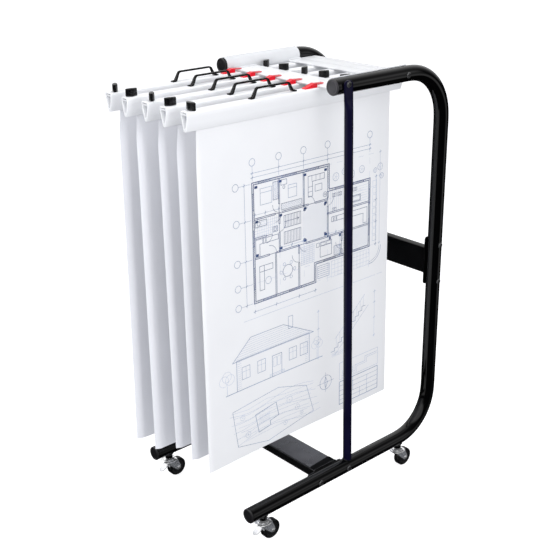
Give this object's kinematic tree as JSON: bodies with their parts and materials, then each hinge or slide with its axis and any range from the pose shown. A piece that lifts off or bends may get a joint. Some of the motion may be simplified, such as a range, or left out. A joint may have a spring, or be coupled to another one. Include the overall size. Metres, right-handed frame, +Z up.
{
  "type": "mobile drawing sheet hanging rack",
  "caption": "Free-standing wheeled rack with a bent tube frame open at the front, from which clamp bars hang large drawing sheets side by side.",
  "frame": {"origin": "floor under the middle of the overall box", "axes": "+Z up, -Y the open loading side, +X the side with the front post nearest the viewer"},
  "size_m": [0.4454, 0.7495, 1.0953],
  "materials": {
    "frame_black": "gloss black paint",
    "post_navy": "gloss navy black paint",
    "white_rail": "satin white paint",
    "cap_black": "satin moulded plastic",
    "chrome": "bright plated",
    "wheel_black": "matt rubber",
    "clamp_white": "white coated extrusion",
    "knob_black": "fine grained plastic",
    "hook_red": "smooth moulded plastic",
    "paper": "drawing paper with printed lines"
  },
  "bodies": {
    "frame": {"left_side_frame": "frame_black", "left_front_post": "post_navy", "left_rail_cover": "white_rail", "left_top_end_cap": "cap_black", "left_bottom_end_cap": "cap_black", "right_side_frame": "frame_black", "right_front_post": "post_navy", "right_rail_cover": "white_rail", "right_top_end_cap": "cap_black", "right_bottom_end_cap": "cap_black", "rear_cross_bar": "frame_black", "base_beam": "frame_black", "front_rail": "white_rail", "rear_rail": "white_rail"},
    "front_left_caster": {"front_left_caster_fork": "chrome"},
    "front_left_caster_wheel": {"front_left_caster_wheel": "wheel_black"},
    "front_left_brake": {"front_left_brake_pedal": "chrome"},
    "rear_left_caster": {"rear_left_caster_fork": "chrome"},
    "rear_left_caster_wheel": {"rear_left_caster_wheel": "wheel_black"},
    "front_right_caster": {"front_right_caster_fork": "chrome"},
    "front_right_caster_wheel": {"front_right_caster_wheel": "wheel_black"},
    "front_right_brake": {"front_right_brake_pedal": "chrome"},
    "rear_right_caster": {"rear_right_caster_fork": "chrome"},
    "rear_right_caster_wheel": {"rear_right_caster_wheel": "wheel_black"},
    "clamp_1": {"clamp_1_profile": "clamp_white", "clamp_1_handle": "knob_black", "clamp_1_hook": "hook_red", "clamp_1_sheet": "paper"},
    "clamp_1_jaw": {"clamp_1_jaw_bar": "clamp_white"},
    "clamp_1_front_knob": {"clamp_1_front_knob": "knob_black"},
    "clamp_1_rear_knob": {"clamp_1_rear_knob": "knob_black"},
    "clamp_2": {"clamp_2_profile": "clamp_white", "clamp_2_handle": "knob_black", "clamp_2_hook": "hook_red", "clamp_2_sheet": "paper"},
    "clamp_2_jaw": {"clamp_2_jaw_bar": "clamp_white"},
    "clamp_2_front_knob": {"clamp_2_front_knob": "knob_black"},
    "clamp_2_rear_knob": {"clamp_2_rear_knob": "knob_black"},
    "clamp_3": {"clamp_3_profile": "clamp_white", "clamp_3_handle": "knob_black", "clamp_3_hook": "hook_red", "clamp_3_sheet": "paper"},
    "clamp_3_jaw": {"clamp_3_jaw_bar": "clamp_white"},
    "clamp_3_front_knob": {"clamp_3_front_knob": "knob_black"},
    "clamp_3_rear_knob": {"clamp_3_rear_knob": "knob_black"},
    "clamp_4": {"clamp_4_profile": "clamp_white", "clamp_4_handle": "knob_black", "clamp_4_hook": "hook_red", "clamp_4_sheet": "paper"},
    "clamp_4_jaw": {"clamp_4_jaw_bar": "clamp_white"},
    "clamp_4_front_knob": {"clamp_4_front_knob": "knob_black"},
    "clamp_4_rear_knob": {"clamp_4_rear_knob": "knob_black"},
    "clamp_5": {"clamp_5_profile": "clamp_white", "clamp_5_handle": "knob_black", "clamp_5_hook": "hook_red", "clamp_5_sheet": "paper"},
    "clamp_5_jaw": {"clamp_5_jaw_bar": "clamp_white"},
    "clamp_5_front_knob": {"clamp_5_front_knob": "knob_black"},
    "clamp_5_rear_knob": {"clamp_5_rear_knob": "knob_black"}
  },
  "joints": [
    {"name": "front_left_caster_swivel", "type": "hinge", "parent": "frame", "child": "front_left_caster", "pos_m": [-0.192, -0.243, 0.06], "axis": [0, 0, 1], "continuous": true},
    {"name": "front_left_caster_roll", "type": "hinge", "parent": "front_left_caster", "child": "front_left_caster_wheel", "pos_m": [-0.192, -0.221, 0.025], "axis": [1, 0, 0], "continuous": true},
    {"name": "front_left_brake_press", "type": "hinge", "parent": "front_left_caster", "child": "front_left_brake", "pos_m": [-0.192, -0.2464, 0.048], "axis": [1, 0, 0], "range_deg": [0, 4]},
    {"name": "rear_left_caster_swivel", "type": "hinge", "parent": "frame", "child": "rear_left_caster", "pos_m": [-0.192, 0.241, 0.06], "axis": [0, 0, 1], "continuous": true},
    {"name": "rear_left_caster_roll", "type": "hinge", "parent": "rear_left_caster", "child": "rear_left_caster_wheel", "pos_m": [-0.192, 0.263, 0.025], "axis": [1, 0, 0], "continuous": true},
    {"name": "front_right_caster_swivel", "type": "hinge", "parent": "frame", "child": "front_right_caster", "pos_m": [0.192, -0.243, 0.06], "axis": [0, 0, 1], "continuous": true},
    {"name": "front_right_caster_roll", "type": "hinge", "parent": "front_right_caster", "child": "front_right_caster_wheel", "pos_m": [0.192, -0.221, 0.025], "axis": [1, 0, 0], "continuous": true},
    {"name": "front_right_brake_press", "type": "hinge", "parent": "front_right_caster", "child": "front_right_brake", "pos_m": [0.192, -0.2464, 0.048], "axis": [1, 0, 0], "range_deg": [0, 4]},
    {"name": "rear_right_caster_swivel", "type": "hinge", "parent": "frame", "child": "rear_right_caster", "pos_m": [0.192, 0.241, 0.06], "axis": [0, 0, 1], "continuous": true},
    {"name": "rear_right_caster_roll", "type": "hinge", "parent": "rear_right_caster", "child": "rear_right_caster_wheel", "pos_m": [0.192, 0.263, 0.025], "axis": [1, 0, 0], "continuous": true},
    {"name": "clamp_1_shift", "type": "slide", "parent": "frame", "child": "clamp_1", "axis": [1, 0, 0], "range_m": [0, 0.019]},
    {"name": "clamp_1_jaw_open", "type": "slide", "parent": "clamp_1", "child": "clamp_1_jaw", "axis": [-0.2365, 0, 0.9716], "range_m": [0, 0.005]},
    {"name": "clamp_1_front_knob_turn", "type": "hinge", "parent": "clamp_1", "child": "clamp_1_front_knob", "pos_m": [-0.156, -0.3516, 1.0615], "axis": [0, 0, 1], "range_deg": [0, 450.1]},
    {"name": "clamp_1_rear_knob_turn", "type": "hinge", "parent": "clamp_1", "child": "clamp_1_rear_knob", "pos_m": [-0.156, 0.0924, 1.0615], "axis": [0, 0, 1], "range_deg": [0, 450.1]},
    {"name": "clamp_2_shift", "type": "slide", "parent": "frame", "child": "clamp_2", "axis": [1, 0, 0], "range_m": [-0.019, 0.019]},
    {"name": "clamp_2_jaw_open", "type": "slide", "parent": "clamp_2", "child": "clamp_2_jaw", "axis": [-0.2365, 0, 0.9716], "range_m": [0, 0.005]},
    {"name": "clamp_2_front_knob_turn", "type": "hinge", "parent": "clamp_2", "child": "clamp_2_front_knob", "pos_m": [-0.0875, -0.355, 1.0615], "axis": [0, 0, 1], "range_deg": [0, 450.1]},
    {"name": "clamp_2_rear_knob_turn", "type": "hinge", "parent": "clamp_2", "child": "clamp_2_rear_knob", "pos_m": [-0.0875, 0.089, 1.0615], "axis": [0, 0, 1], "range_deg": [0, 450.1]},
    {"name": "clamp_3_shift", "type": "slide", "parent": "frame", "child": "clamp_3", "axis": [1, 0, 0], "range_m": [-0.019, 0.0188]},
    {"name": "clamp_3_jaw_open", "type": "slide", "parent": "clamp_3", "child": "clamp_3_jaw", "axis": [-0.2365, 0, 0.9716], "range_m": [0, 0.005]},
    {"name": "clamp_3_front_knob_turn", "type": "hinge", "parent": "clamp_3", "child": "clamp_3_front_knob", "pos_m": [-0.0188, -0.3499, 1.0615], "axis": [0, 0, 1], "range_deg": [0, 450.1]},
    {"name": "clamp_3_rear_knob_turn", "type": "hinge", "parent": "clamp_3", "child": "clamp_3_rear_knob", "pos_m": [-0.0188, 0.0941, 1.0615], "axis": [0, 0, 1], "range_deg": [0, 450.1]},
    {"name": "clamp_4_shift", "type": "slide", "parent": "frame", "child": "clamp_4", "axis": [1, 0, 0], "range_m": [-0.0188, 0.0188]},
    {"name": "clamp_4_jaw_open", "type": "slide", "parent": "clamp_4", "child": "clamp_4_jaw", "axis": [-0.2365, 0, 0.9716], "range_m": [0, 0.005]},
    {"name": "clamp_4_front_knob_turn", "type": "hinge", "parent": "clamp_4", "child": "clamp_4_front_knob", "pos_m": [0.0487, -0.351, 1.0615], "axis": [0, 0, 1], "range_deg": [0, 450.1]},
    {"name": "clamp_4_rear_knob_turn", "type": "hinge", "parent": "clamp_4", "child": "clamp_4_rear_knob", "pos_m": [0.0487, 0.093, 1.0615], "axis": [0, 0, 1], "range_deg": [0, 450.1]},
    {"name": "clamp_5_shift", "type": "slide", "parent": "frame", "child": "clamp_5", "axis": [1, 0, 0], "range_m": [-0.0188, 0.04]},
    {"name": "clamp_5_jaw_open", "type": "slide", "parent": "clamp_5", "child": "clamp_5_jaw", "axis": [-0.2365, 0, 0.9716], "range_m": [0, 0.005]},
    {"name": "clamp_5_front_knob_turn", "type": "hinge", "parent": "clamp_5", "child": "clamp_5_front_knob", "pos_m": [0.116, -0.3483, 1.0615], "axis": [0, 0, 1], "range_deg": [0, 450.1]},
    {"name": "clamp_5_rear_knob_turn", "type": "hinge", "parent": "clamp_5", "child": "clamp_5_rear_knob", "pos_m": [0.116, 0.0957, 1.0615], "axis": [0, 0, 1], "range_deg": [0, 450.1]}
  ],
  "couplings": [
    {"joint": "clamp_1_front_knob_turn", "follows": "clamp_1_jaw_open", "rad_per_m": 1570.8},
    {"joint": "clamp_1_rear_knob_turn", "follows": "clamp_1_jaw_open", "rad_per_m": 1570.8},
    {"joint": "clamp_2_front_knob_turn", "follows": "clamp_2_jaw_open", "rad_per_m": 1570.8},
    {"joint": "clamp_2_rear_knob_turn", "follows": "clamp_2_jaw_open", "rad_per_m": 1570.8},
    {"joint": "clamp_3_front_knob_turn", "follows": "clamp_3_jaw_open", "rad_per_m": 1570.8},
    {"joint": "clamp_3_rear_knob_turn", "follows": "clamp_3_jaw_open", "rad_per_m": 1570.8},
    {"joint": "clamp_4_front_knob_turn", "follows": "clamp_4_jaw_open", "rad_per_m": 1570.8},
    {"joint": "clamp_4_rear_knob_turn", "follows": "clamp_4_jaw_open", "rad_per_m": 1570.8},
    {"joint": "clamp_5_front_knob_turn", "follows": "clamp_5_jaw_open", "rad_per_m": 1570.8},
    {"joint": "clamp_5_rear_knob_turn", "follows": "clamp_5_jaw_open", "rad_per_m": 1570.8}
  ]
}
